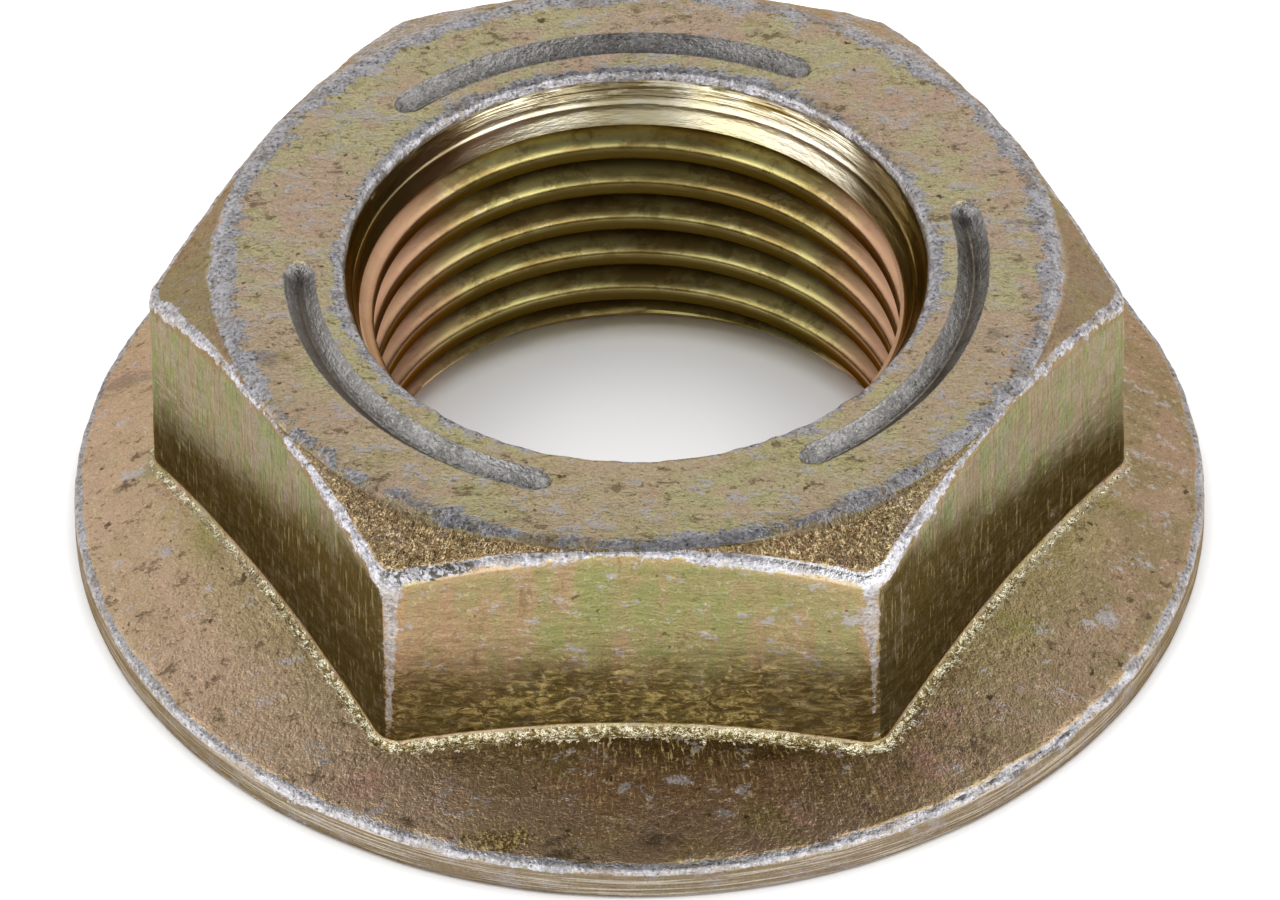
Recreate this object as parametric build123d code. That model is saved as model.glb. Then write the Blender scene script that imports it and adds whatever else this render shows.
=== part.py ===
from build123d import *
import os
from math import cos, radians, sin, tan

# Serrated hex flange nut, 3/4-16 UNF, forged and tapped in one piece.
# All sizes are in millimetres. The bore axis is Z, the bearing face lies at
# z = 0 and faces down, and two of the six wrench flats face +Y and -Y.

INCH = 25.4

# Wrenching hexagon
WIDTH_ACROSS_FLATS = 1.125 * INCH
NUT_HEIGHT = 11.28
HEX_CORNER_RADIUS = 1.1
CROWN_CIRCLE_DIAMETER = 27.9
CROWN_ANGLE = 32.0
CROWN_EDGE_RADIUS = 0.8

# Flange
FLANGE_DIAMETER = 1.5 * INCH
FLANGE_RIM_HEIGHT = 1.26
FLANGE_SLOPE = 23.5
RIM_TOP_CHAMFER = 0.2
RIM_BOTTOM_CHAMFER = 0.2
HEX_ROOT_RADIUS = 0.5

# Bore: the tapped hole is modelled at the thread's minor diameter
THREAD_MINOR_DIAMETER = 17.64
RECESS_MOUTH_DIAMETER = 19.46
RECESS_DEPTH = 1.95
RECESS_WALL_ANGLE = 12.0
RECESS_EDGE_CHAMFER = 0.2
LEAD_IN_HALF_ANGLE = 45.0
COUNTERSINK_MOUTH_DIAMETER = 20.3
COUNTERSINK_HALF_ANGLE = 45.0

# Locking crimps: V grooves that squeeze the top threads out of round
CRIMP_COUNT = 3
CRIMP_CIRCLE_DIAMETER = 22.5
CRIMP_DEPTH = 0.57
CRIMP_HALF_ANGLE = 45.0
CRIMP_ARC = 77.0
FIRST_CRIMP_ANGLE = 98.0

# Ratchet serrations under the flange
SERRATION_COUNT = 36
SERRATION_INNER_RADIUS = 12.6
SERRATION_OUTER_RADIUS = 18.2
SERRATION_DEPTH = 0.45
SERRATION_LAND_ANGLE = 1.6
SERRATION_END_ANGLE = 45.0

# How far a cutter stands out of the face that it cuts, and how near a face
# an edge's middle has to be to count as lying on it
CUT_MARGIN = 1.0
ON_FACE = 0.001

SECTION = Plane.XZ


def turned(points, corners=()):
    """Solid of revolution about Z, with a chamfer or fillet on the named section corners."""
    with BuildSketch(SECTION) as section:
        Polygon(*points, align=None)
        for corner, shape, size in corners:
            nearest = section.vertices().sort_by_distance(Vector(*corner))[0]
            shape(nearest, size)
    return revolve(section.sketch, Axis.Z)


def cone_height(radius):
    """Height of the flange's conical face at a distance from the axis."""
    return FLANGE_RIM_HEIGHT + (FLANGE_DIAMETER / 2 - radius) * tan(radians(FLANGE_SLOPE))


def flange():
    """Round flange with a straight rim and a conical upper face."""
    minor = THREAD_MINOR_DIAMETER / 2
    rim_bottom = (FLANGE_DIAMETER / 2, 0)
    rim_top = (FLANGE_DIAMETER / 2, FLANGE_RIM_HEIGHT)
    return turned(
        [(0, 0), rim_bottom, rim_top, (minor, cone_height(minor)), (0, cone_height(minor))],
        [(rim_bottom, chamfer, RIM_BOTTOM_CHAMFER), (rim_top, chamfer, RIM_TOP_CHAMFER)],
    )


def hexagon():
    """Hexagonal prism with rounded corners, its top crowned by a cone."""
    with BuildSketch() as outline:
        RegularPolygon(WIDTH_ACROSS_FLATS / 2, 6, major_radius=False)
        fillet(outline.vertices(), HEX_CORNER_RADIUS)
    prism = extrude(outline.sketch, NUT_HEIGHT)

    circle_radius = CROWN_CIRCLE_DIAMETER / 2
    reach = WIDTH_ACROSS_FLATS
    drop = (reach - circle_radius) * tan(radians(CROWN_ANGLE))
    crown_edge = (circle_radius, NUT_HEIGHT)
    crown = turned(
        [(0, -drop), (reach, -drop), (reach, NUT_HEIGHT - drop), crown_edge, (0, NUT_HEIGHT)],
        [(crown_edge, fillet, CROWN_EDGE_RADIUS)],
    )
    return prism & crown


def root_edges(body):
    """Edges along which the hexagon stands on the flange's conical face."""
    corner = WIDTH_ACROSS_FLATS / 2 / cos(radians(30))
    edges = []
    for edge in body.edges():
        middle = edge @ 0.5
        radius = Vector(middle.X, middle.Y, 0).length
        if radius < corner and abs(middle.Z - cone_height(radius)) < ON_FACE:
            edges.append(edge)
    return edges


def bore():
    """Cutter for the tapped hole, the recess in the top and the countersink below."""
    minor = THREAD_MINOR_DIAMETER / 2
    mouth = RECESS_MOUTH_DIAMETER / 2
    recess_floor_radius = mouth - RECESS_DEPTH * tan(radians(RECESS_WALL_ANGLE))
    recess_floor = NUT_HEIGHT - RECESS_DEPTH
    lead_in = (recess_floor_radius - minor) / tan(radians(LEAD_IN_HALF_ANGLE))
    mouth_above = mouth + CUT_MARGIN * tan(radians(RECESS_WALL_ANGLE))

    sink = COUNTERSINK_MOUTH_DIAMETER / 2
    sink_depth = (sink - minor) / tan(radians(COUNTERSINK_HALF_ANGLE))
    sink_below = sink + CUT_MARGIN * tan(radians(COUNTERSINK_HALF_ANGLE))
    return turned([
        (0, -CUT_MARGIN),
        (sink_below, -CUT_MARGIN),
        (minor, sink_depth),
        (minor, recess_floor - lead_in),
        (recess_floor_radius, recess_floor),
        (mouth_above, NUT_HEIGHT + CUT_MARGIN),
        (0, NUT_HEIGHT + CUT_MARGIN),
    ])


def crimps():
    """Cutters for the V grooves, evenly spaced round the bore."""
    radius = CRIMP_CIRCLE_DIAMETER / 2
    half_width = (CRIMP_DEPTH + CUT_MARGIN) * tan(radians(CRIMP_HALF_ANGLE))
    top = NUT_HEIGHT + CUT_MARGIN
    with BuildSketch(SECTION) as section:
        Polygon(
            (radius, NUT_HEIGHT - CRIMP_DEPTH),
            (radius + half_width, top),
            (radius - half_width, top),
            align=None,
        )
    groove = revolve(section.sketch, Axis.Z, revolution_arc=CRIMP_ARC)
    start = FIRST_CRIMP_ANGLE - CRIMP_ARC / 2
    return [Rot(Z=start + k * 360 / CRIMP_COUNT) * groove for k in range(CRIMP_COUNT)]


def serrations():
    """Cutters for the ratchet teeth, whose steep sides bite as the nut loosens."""
    gap_angle = radians(360 / SERRATION_COUNT - SERRATION_LAND_ANGLE)
    reach = SERRATION_OUTER_RADIUS + CUT_MARGIN
    wall_root = Vector(reach, 0, SERRATION_DEPTH * reach / SERRATION_OUTER_RADIUS)
    next_land = Vector(reach * cos(gap_angle), reach * sin(gap_angle), 0)
    ramp = Plane(origin=(0, 0, 0), x_dir=next_land, z_dir=wall_root.cross(next_land))
    sector = Polygon((0, 0), (wall_root.X, 0), (next_land.X, next_land.Y), align=None)
    block = extrude(Pos(Z=-CUT_MARGIN) * sector, CUT_MARGIN + wall_root.Z)
    wedge = split(block, ramp, keep=Keep.BOTTOM)

    run_out = tan(radians(SERRATION_END_ANGLE))
    ring = turned([
        (SERRATION_INNER_RADIUS - CUT_MARGIN * run_out, -CUT_MARGIN),
        (SERRATION_OUTER_RADIUS + CUT_MARGIN * run_out, -CUT_MARGIN),
        (SERRATION_OUTER_RADIUS - SERRATION_DEPTH * run_out, SERRATION_DEPTH),
        (SERRATION_INNER_RADIUS + SERRATION_DEPTH * run_out, SERRATION_DEPTH),
    ])
    tooth_gap = wedge & ring
    return [Rot(Z=k * 360 / SERRATION_COUNT) * tooth_gap for k in range(SERRATION_COUNT)]


def flange_nut():
    """The whole nut, with its forged edges rounded before the bore is cut."""
    body = flange() + hexagon()
    body = fillet(root_edges(body), HEX_ROOT_RADIUS)
    body -= bore()
    mouth_edge = body.edges().group_by(Axis.Z)[-1].sort_by(SortBy.RADIUS)[0]
    body = chamfer(mouth_edge, RECESS_EDGE_CHAMFER)
    body -= crimps()
    body -= serrations()
    return body


os.makedirs("parts", exist_ok=True)
nut = flange_nut()
nut.label = "flange_nut"
export_step(nut, "parts/flange_nut.step")
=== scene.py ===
import math

import bpy
import numpy as np
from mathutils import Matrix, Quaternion, Vector, noise


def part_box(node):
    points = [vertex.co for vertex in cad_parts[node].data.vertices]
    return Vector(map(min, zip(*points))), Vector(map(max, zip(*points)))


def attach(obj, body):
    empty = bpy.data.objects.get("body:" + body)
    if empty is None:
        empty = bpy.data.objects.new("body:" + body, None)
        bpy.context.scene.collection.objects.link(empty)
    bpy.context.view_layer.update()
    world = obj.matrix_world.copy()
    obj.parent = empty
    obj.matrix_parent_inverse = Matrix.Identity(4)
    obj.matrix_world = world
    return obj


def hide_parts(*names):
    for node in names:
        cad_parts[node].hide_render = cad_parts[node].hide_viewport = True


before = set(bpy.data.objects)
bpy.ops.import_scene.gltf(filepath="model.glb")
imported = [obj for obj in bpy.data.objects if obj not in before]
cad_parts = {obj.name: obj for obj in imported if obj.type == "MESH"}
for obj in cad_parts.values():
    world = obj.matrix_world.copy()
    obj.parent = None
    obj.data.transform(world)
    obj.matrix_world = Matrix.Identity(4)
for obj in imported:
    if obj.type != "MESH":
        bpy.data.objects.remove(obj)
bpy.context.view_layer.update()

# A 3/4-16 UNF serrated flange nut of yellow-chromated steel, worn to bare
# grey on its edges. The mesh is worked out in millimetres round the bore
# axis and scaled to metres at the end. Angles are in degrees round +Z, and
# the photograph looks along +Y, so its front is at 270.

MM = 0.001
NUT = "flange_nut"
low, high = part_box(NUT)
FLANGE_RADIUS = (high[0] - low[0]) / 2 / MM
HEIGHT = (high[2] - low[2]) / MM

# Hexagon and crown
FLAT_DISTANCE = 14.2875
CORNER_RADIUS = 1.1
CROWN_CIRCLE_RADIUS = 13.95
CROWN_SLOPE = math.tan(math.radians(32.0))
CROWN_EDGE_WIDTH = 0.25
CROWN_SHARES = (0.15, 0.3, 0.45, 0.6, 0.75, 0.9)
FLAT_EDGE_WIDTH = 0.22
FLAT_EDGE_DROP = 1.2
NARROW_CROWN = 0.12
NARROW_CROWN_SHARE = 0.45
FLAT_ROWS = 20
FLAT_CROWDING = 1.3

# Flange
RIM_HEIGHT = 1.26
FLANGE_SLOPE = math.tan(math.radians(23.5))
ROOT_WIDTH = 0.22
CONE_ROWS = 17
CONE_CROWDING = 1.25
CONE_LAST_GAP = 0.12
RIM_EDGE_WIDTH = 0.19
RIM_EDGE_UNEVENNESS = 0.5
RIM_EDGE_DROP = 0.7
RIM_ROW_HEIGHTS = (0.98, 0.6)
RIM_LOWER_EDGE = 0.22

# Crimped grooves
CRIMP_RADIUS = 11.28
CRIMP_HALF_WIDTH = 0.52
CRIMP_DEPTH = 0.52
CRIMP_ROWS = 6
CRIMP_MIDDLES = (98.0, 218.0, 338.0)
CRIMP_HALF_ARC = 38.5
CRIMP_TAPER = 3.0
TOP_RADII_INSIDE = (10.3, 10.5)
TOP_RADII_OUTSIDE = (12.0, 12.4, 12.9, 13.3)

# Bore
PITCH = 25.4 / 16
MINOR_RADIUS = 8.82
MAJOR_RADIUS = 9.525
MOUTH_RADIUS = 9.73
MOUTH_EDGE_WIDTH = 0.3
MOUTH_UNEVENNESS = 0.35
MOUTH_LEAN = 0.1
RECESS_GAP = 0.1
RECESS_SHARES = (0.0, 0.14, 0.28, 0.42, 0.47, 0.5, 0.54, 0.7, 0.86, 1.0)
TOOL_MARK_SHARE = 0.5
TOOL_MARK_DEPTH = 0.02
LIP_RADIUS = 9.12
LIP_SHIFT = 0.18
LIP_HEIGHT = 9.5
CREST_HEIGHT_BEHIND = 8.80
CREST_SOFTNESS = 0.07
CREST_ROUNDING = 0.6
EDGE_SHADE = 0.08
ROOT_SHADE = 0.1
THREAD_START_HEIGHT = 0.62
COUNTERSINK_RADIUS = 10.15
COUNTERSINK_HEIGHTS = (0.4, 0.2)

# Serrations
TOOTH_COUNT = 36
TOOTH_INNER_RADIUS = 12.6
TOOTH_OUTER_RADIUS = 18.2
TOOTH_DEPTH = 0.45
TOOTH_LAND = 1.5
TOOTH_RADII_BETWEEN = (17.75, 16.6, 15.4, 14.2, 13.05)
UNDER_RADIUS_OUTSIDE = 18.5
UNDER_RADII_INSIDE = (11.9, 11.0)

# Wear: how far it reaches from each edge, and how strong it starts where that isn't 1
MOUTH_WEAR = 0.9
CIRCLE_WEAR = 1.1
EDGE_WEAR = 0.5
FRONT_CIRCLE_WEAR_LOSS = 0.14
CONE_WEAR_STRENGTH = 0.3
RIM_WEAR_STRENGTH = 0.35
RIM_WEAR_DROP = 0.25
RIM_WEAR = 0.35
FILM_BEHIND = 0.55
RAGGED_FLAT_LOSS = 0.3
RAGGED_FLAT_MIDDLE = 330.0
RAGGED_FLAT_REACH = 22.0
BURR_MIDDLE = -45.0
BURR_REACH = 35.0

# Wear along the corners, at the foot and at the crown: shift to one side, strength, half width
CORNER_SHIFT = (0.06, 0.28)
CORNER_WEAR = (0.64, 0.94)
CORNER_WEAR_ONE_SIDED = 0.2
CORNER_HALF_WIDTH = (0.2, 0.54)

# Dark foot of the cone: where its middle is, its width far from there and what the middle adds
DARK_FOOT_MIDDLE = 277.0
DARK_FOOT_WIDTH = 1.5
DARK_FOOT_EXTRA = 5.0

# Painted glints along the root: how far they reach out, how strong behind and in front
ROOT_GLINT_REACH = 0.8
ROOT_GLINT_ABOVE = (0.55, 1.0)
ROOT_GLINT_BELOW = (0.3, 0.64)

# Painted shade by flat from 30 degrees on, and the wear's side by corner from 0 on
FLAT_SHADES = (0.7, 0.8, 0.7, 1.0, 0.0, 0.9)
CORNER_SIDES = (0.0, 0.0, 0.0, 0.0, 1.0, -1.0)

# Single blemishes seen in the photograph: x, y and reach along x and y
BLEMISHES = {
    "olive": ((-16.0, -0.7, 0.8, 0.7), (15.5, -2.3, 1.5, 0.4),
              (-14.4, -4.4, 0.7, 1.1), (12.8, -8.6, 0.7, 0.9)),
    "pink": ((5.6, -16.9, 0.7, 0.5), (9.6, -14.4, 0.9, 0.8),
             (10.5, -12.6, 0.6, 0.7), (-9.0, -15.4, 1.2, 0.6)),
    "gold": ((-4.2, -17.9, 1.7, 0.55),),
    "scuff": ((1.5, -16.0, 0.55, 0.2), (3.0, -17.0, 0.4, 0.2), (-17.2, -0.4, 0.4, 0.25),
              (-15.8, -4.6, 0.3, 0.25), (-14.3, -6.8, 0.35, 0.2), (15.8, -7.3, 0.45, 0.5),
              (-12.1, -7.2, 0.4, 0.5), (10.3, 2.0, 0.3, 0.4)),
    "stain": ((-2.3, -18.5, 0.8, 0.3), (-16.9, 0.4, 0.4, 0.25), (-17.3, -0.9, 0.45, 0.3),
              (14.9, -4.3, 0.25, 0.25), (16.5, -6.3, 0.2, 0.2)),
    "shade": ((-17.7, 4.9, 1.4, 0.7), (-12.1, -4.8, 0.7, 0.6), (12.0, -3.5, 0.5, 0.3),
              (11.8, -7.8, 0.45, 0.5), (14.8, -2.8, 1.2, 0.3), (13.1, 2.1, 0.7, 0.2)),
}

# The bore has half as many points round the axis as the outside
OUTER_STEP = 0.5
BORE_STEP = 2 * OUTER_STEP
OUTER_ANGLES = np.arange(0.0, 360.0, OUTER_STEP)
BORE_ANGLES = np.arange(0.0, 360.0, BORE_STEP)
ONE = np.ones_like(OUTER_ANGLES)


def share(value):
    """The value kept between 0 and 1."""
    return np.clip(value, 0.0, 1.0)


def between(ends, along):
    """A value that goes from the first end to the second."""
    return ends[0] + (ends[1] - ends[0]) * along


def wave(radius, height, scale, seed):
    """Smooth noise in -1..1 along a circle round the axis, given in millimetres."""
    t = np.radians(OUTER_ANGLES)
    points = np.stack([radius * np.cos(t), radius * np.sin(t), height + 0.0 * t], -1) * scale
    shift = Vector((13.1 * seed, 7.7 * seed, 3.3 * seed))
    return np.array([noise.noise(Vector(p) + shift) for p in points])


def hex_radius(angles):
    """Distance from the axis to the hexagon's rounded outline."""
    psi = np.radians(np.abs((angles + 30.0) % 60.0 - 30.0))
    flat = FLAT_DISTANCE / np.cos(math.radians(30.0) - psi)
    centre = (FLAT_DISTANCE - CORNER_RADIUS) / math.cos(math.radians(30.0))
    inside = np.maximum(CORNER_RADIUS ** 2 - (centre * np.sin(psi)) ** 2, 0.0)
    corner = centre * np.cos(psi) + np.sqrt(inside)
    tangent = math.atan((FLAT_DISTANCE - CORNER_RADIUS) * math.tan(math.radians(30.0)) / FLAT_DISTANCE)
    return np.where(psi < math.radians(30.0) - tangent, corner, flat)


HEXAGON = hex_radius(OUTER_ANGLES)


def crown_height(radius):
    return HEIGHT - (radius - CROWN_CIRCLE_RADIUS) * CROWN_SLOPE


def cone_height(radius):
    return RIM_HEIGHT + (FLANGE_RADIUS - radius) * FLANGE_SLOPE


def bend(start, middle, end, steps):
    """Rows of a soft corner from start to end, pulled towards middle."""
    rows = []
    for t in np.linspace(0.0, 1.0, steps):
        a, b, c = (1 - t) ** 2, 2 * t * (1 - t), t ** 2
        rows.append(tuple(a * s + b * m + c * e for s, m, e in zip(start, middle, end)))
    return rows


def band(zone, rows):
    """Rows of one zone, each a radius and a height at every angle."""
    return [(radius * ONE, height * ONE, zone) for radius, height in rows]


def crimp_share(angles):
    """1 in the arcs that the crimping tool pressed, 0 between them, pointed at their ends."""
    away = np.min([np.abs((angles - m + 180.0) % 360.0 - 180.0) for m in CRIMP_MIDDLES], axis=0)
    return share((CRIMP_HALF_ARC - away) / CRIMP_TAPER) ** 0.5


def tooth_share(angles):
    """Depth of the ratchet gaps as a share: 1 at the steep wall, 0 on the lands."""
    pitch = 360.0 / TOOTH_COUNT
    gap = pitch - TOOTH_LAND
    along = (angles - OUTER_STEP) % pitch
    return share(1.0 - along / (gap - OUTER_STEP))


def mouth_rows():
    width = MOUTH_EDGE_WIDTH * (1.0 + MOUTH_UNEVENNESS * wave(MOUTH_RADIUS, HEIGHT, scale=1.6, seed=1))
    return band("mouth", bend((MOUTH_RADIUS, HEIGHT - width), (MOUTH_RADIUS + MOUTH_LEAN * width, HEIGHT),
                              (MOUTH_RADIUS + width, HEIGHT), 4))


def top_rows():
    pressed = crimp_share(OUTER_ANGLES)
    groove_in = CRIMP_RADIUS - CRIMP_HALF_WIDTH
    groove_out = CRIMP_RADIUS + CRIMP_HALF_WIDTH
    grooves = []
    for k in range(CRIMP_ROWS + 1):
        radius = groove_in + (groove_out - groove_in) * k / CRIMP_ROWS
        depth = CRIMP_DEPTH * np.maximum(pressed - abs(radius - CRIMP_RADIUS) / CRIMP_HALF_WIDTH, 0.0)
        grooves.append((radius, HEIGHT - depth))
    return (band("top", [(radius, HEIGHT) for radius in TOP_RADII_INSIDE]) + band("crimp", grooves)
            + band("top", [(radius, HEIGHT) for radius in TOP_RADII_OUTSIDE]))


def flat_edge():
    """Width of the edge over the flats, less where the crown is narrow."""
    crown = HEXAGON - (CROWN_CIRCLE_RADIUS + CROWN_EDGE_WIDTH)
    return np.minimum(FLAT_EDGE_WIDTH, NARROW_CROWN_SHARE * np.maximum(crown, NARROW_CROWN))


def crown_rows():
    start = CROWN_CIRCLE_RADIUS + CROWN_EDGE_WIDTH
    circle = bend((CROWN_CIRCLE_RADIUS - CROWN_EDGE_WIDTH, HEIGHT), (CROWN_CIRCLE_RADIUS, HEIGHT),
                  (start, crown_height(start)), 4)
    end = np.maximum(HEXAGON - flat_edge(), start + 0.01)
    radii = [start + (end - start) * along for along in CROWN_SHARES]
    top = crown_height(HEXAGON)
    edge = bend((end, crown_height(end)), (HEXAGON, top), (HEXAGON, top - FLAT_EDGE_DROP * flat_edge()), 5)
    return (band("circle", circle) + band("crown", [(radius, crown_height(radius)) for radius in radii])
            + band("edge", edge))


def flat_rows():
    """Rows down the flats, closer together towards the foot."""
    top = crown_height(HEXAGON) - FLAT_EDGE_DROP * flat_edge()
    foot = cone_height(HEXAGON) + ROOT_WIDTH
    rows = []
    for k in range(1, FLAT_ROWS):
        along = k / FLAT_ROWS
        if along >= 0.5:
            along = 1.0 - (1.0 - along) ** FLAT_CROWDING / 0.5 ** (FLAT_CROWDING - 1.0)
        rows.append((HEXAGON, top + (foot - top) * along))
    return band("flat", rows)


def root_rows():
    foot = cone_height(HEXAGON)
    out = HEXAGON + ROOT_WIDTH
    return band("root", bend((HEXAGON, foot + ROOT_WIDTH), (HEXAGON, foot), (out, cone_height(out)), 5))


def flange_rows():
    width = RIM_EDGE_WIDTH * (1.0 + RIM_EDGE_UNEVENNESS * wave(FLANGE_RADIUS, 0.0, scale=0.9, seed=2))
    start = HEXAGON + ROOT_WIDTH
    end = FLANGE_RADIUS - width
    radii = [start + (end - start) * (k / CONE_ROWS) ** CONE_CROWDING for k in range(1, CONE_ROWS)]
    radii.append(end - CONE_LAST_GAP)
    burr = bend((end, cone_height(end)), (FLANGE_RADIUS, RIM_HEIGHT),
                (FLANGE_RADIUS, RIM_HEIGHT - RIM_EDGE_DROP * width), 4)
    rim = [(FLANGE_RADIUS, height) for height in RIM_ROW_HEIGHTS]
    rim += bend((FLANGE_RADIUS, RIM_LOWER_EDGE), (FLANGE_RADIUS, 0.0),
                (FLANGE_RADIUS - RIM_LOWER_EDGE, 0.0), 4)
    cone = [(radius, cone_height(radius)) for radius in radii]
    return band("cone", cone) + band("burr", burr) + band("rim", rim)


def under_rows():
    """The bearing face with its ratchet gaps, which run out at both ends."""
    teeth = tooth_share(OUTER_ANGLES)
    rows = [(UNDER_RADIUS_OUTSIDE, 0.0)]
    for radius in (TOOTH_OUTER_RADIUS, *TOOTH_RADII_BETWEEN, TOOTH_INNER_RADIUS):
        depth = TOOTH_DEPTH * radius / TOOTH_OUTER_RADIUS * teeth
        run_out = min(TOOTH_OUTER_RADIUS - radius, radius - TOOTH_INNER_RADIUS)
        rows.append((radius, np.minimum(depth, run_out)))
    rows += [(radius, 0.0) for radius in (*UNDER_RADII_INSIDE, COUNTERSINK_RADIUS)]
    return band("under", rows)


def outer_rows():
    """Rows of the outside, from the bore's mouth over the rim to the countersink."""
    return (mouth_rows() + top_rows() + crown_rows() + flat_rows() + root_rows() + flange_rows()
            + under_rows())


def thread_profile():
    """The thread's wall as drops below a crest's upper edge, and their radii."""
    flank = math.tan(math.radians(30.0))
    depth = (MAJOR_RADIUS - MINOR_RADIUS) * flank
    root = PITCH / 8
    crest = PITCH - root - 2 * depth
    rounding = CREST_ROUNDING * CREST_SOFTNESS
    shoulder = MINOR_RADIUS + rounding / flank
    drops = [CREST_SOFTNESS, crest - CREST_SOFTNESS, crest + rounding, crest + depth, crest + depth + root,
             PITCH - rounding]
    radii = [MINOR_RADIUS, MINOR_RADIUS, shoulder, MAJOR_RADIUS, MAJOR_RADIUS, shoulder]
    return drops, radii


def thread_radius(drop):
    drops, radii = thread_profile()
    return np.interp(drop % PITCH, [drops[-1] - PITCH] + drops + [drops[0] + PITCH],
                     [radii[-1]] + radii + [radii[0]])


def thread_rows():
    """Rows of one pitch of the thread: drop below the crest's edge and how much painted shade it gets there.
    """
    drops, _ = thread_profile()
    top, crest, under, root_high, root_low, last = drops
    next_top = top + PITCH
    return [(top, 0.25), (top + EDGE_SHADE, 0.8), ((top + crest) / 2, 1.0), (crest, 1.0), (under, 0.8),
            (root_high, 1.0), (root_low, 0.9), (root_low + ROOT_SHADE, 0.55), ((root_low + last) / 2, 0.2),
            (last - EDGE_SHADE, 0.0), (last, 0.0), ((last + next_top) / 2, 0.0)]


# dark is painted shade on the flats, their edges, the crown, the root and the thread, and the dark foot on
# the cone; root is how strong the painted root glints and the root's grit are
MARKS = ("wear", "groove", "bore", "dark", "flat", "root", "crown", "rim", "cone")
BORE_MARK = {name: float(name == "bore") for name in MARKS}


def frontness(angles):
    """1 on the side where the granular forging skin with its painted glints, the strongest painted glints
    along the root and the dark foot are, 0 behind.
    """
    return share(-1.8 * np.sin(np.radians(angles)) - 0.6)


FRONT = frontness(OUTER_ANGLES)


def flat_shade(angles):
    """How much painted shade, in olive, each flat gets: none on the front one, most to its left."""
    flat = np.round((angles - 30.0) / 60.0) % 6
    return np.choose(flat.astype(int), FLAT_SHADES)


def top_marks(radius, zone):
    near_mouth = 1.0 - (radius - MOUTH_RADIUS) / MOUTH_WEAR
    near_circle = 1.0 - np.abs(radius - CROWN_CIRCLE_RADIUS) / CIRCLE_WEAR
    found = {"wear": share(np.maximum(near_mouth, near_circle))}
    if zone in ("top", "crimp"):
        pressed = crimp_share(OUTER_ANGLES)
        across = 0.5 + (pressed - np.abs(radius - CRIMP_RADIUS) / CRIMP_HALF_WIDTH) / 2
        found["groove"] = share(across) * np.minimum(4.0 * pressed, 1.0)
    return found


def crown_marks(radius):
    """Narrower wear at the front, a grey film all over the crown behind, and painted shade, most at the
    sides.
    """
    behind = share(1.5 * np.sin(np.radians(OUTER_ANGLES)))
    circle = 1.0 - (radius - CROWN_CIRCLE_RADIUS) / (EDGE_WEAR - FRONT_CIRCLE_WEAR_LOSS * FRONT)
    edge = 1.0 - (HEXAGON - radius) / EDGE_WEAR
    return {"wear": np.maximum(share(np.maximum(circle, edge)), FILM_BEHIND * behind),
            "crown": 0.15 + 0.85 * FRONT,
            "dark": 0.75 - 0.5 * FRONT - 0.4 * behind}


def corner_wear(rise):
    """Wear along the corners, stronger upwards and one-sided at the two front ones."""
    past_corner = HEXAGON * np.radians((OUTER_ANGLES + 30.0) % 60.0 - 30.0)
    side = np.choose((np.round(OUTER_ANGLES / 60.0) % 6).astype(int), CORNER_SIDES)
    middle = between(CORNER_SHIFT, rise) * side
    strength = between(CORNER_WEAR, rise) + CORNER_WEAR_ONE_SIDED * np.abs(side)
    return strength - np.abs(past_corner - middle) / between(CORNER_HALF_WIDTH, rise)


def side_marks(height, zone):
    top = crown_height(HEXAGON)
    foot = cone_height(HEXAGON)
    ragged = share(1.0 - np.abs(OUTER_ANGLES - RAGGED_FLAT_MIDDLE) / RAGGED_FLAT_REACH)
    below = 1.0 - RAGGED_FLAT_LOSS * ragged - (top - height) / EDGE_WEAR
    corner = corner_wear(share((height - foot) / (top - foot)))
    # The dark mark is each flat's painted shade, on its edge too
    return {"wear": share(np.maximum(below, corner)),
            "flat": float(zone == "flat") * ONE,
            "dark": flat_shade(OUTER_ANGLES)}


def root_marks(height):
    # Painted glints along the root, and half of the painted shade of the flat above
    above = (height - cone_height(HEXAGON)) / ROOT_WIDTH
    return {"root": share(1.1 - above) * between(ROOT_GLINT_ABOVE, FRONT), "dark": 0.5 * flat_shade(OUTER_ANGLES)}


def cone_marks(radius):
    """The dark foot reaches far out in the middle of the front and little elsewhere."""
    beyond_root = (radius - HEXAGON - ROOT_WIDTH) / ROOT_GLINT_REACH
    middle = share(np.cos(np.radians(np.clip(2.0 * (OUTER_ANGLES - DARK_FOOT_MIDDLE), -90.0, 90.0))))
    foot = share(1.0 - (radius - HEXAGON) / (DARK_FOOT_WIDTH + DARK_FOOT_EXTRA * middle))
    # Painted root glints reaching out onto the cone
    return {"root": share(between(ROOT_GLINT_BELOW, FRONT) - beyond_root),
            "dark": foot * (0.2 + 0.8 * middle),
            "wear": share(CONE_WEAR_STRENGTH - (FLANGE_RADIUS - radius - RIM_EDGE_WIDTH) / EDGE_WEAR),
            "cone": ONE}


def outer_marks(radius, height, zone):
    """How far each point of a row belongs to each kind of surface, 0 to 1."""
    found = {name: 0.0 * ONE for name in MARKS}
    if zone in ("mouth", "top", "crimp", "circle"):
        found.update(top_marks(radius, zone))
    elif zone == "crown":
        found.update(crown_marks(radius))
    elif zone in ("edge", "flat"):
        found.update(side_marks(height, zone))
    elif zone == "root":
        found.update(root_marks(height))
    elif zone == "cone":
        found.update(cone_marks(radius))
    elif zone == "burr":
        found["wear"] = ONE
    elif zone == "rim":
        found["rim"] = ONE
        found["wear"] = share(RIM_WEAR_STRENGTH - (RIM_HEIGHT - RIM_WEAR_DROP - height) / RIM_WEAR)
    return found


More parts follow.
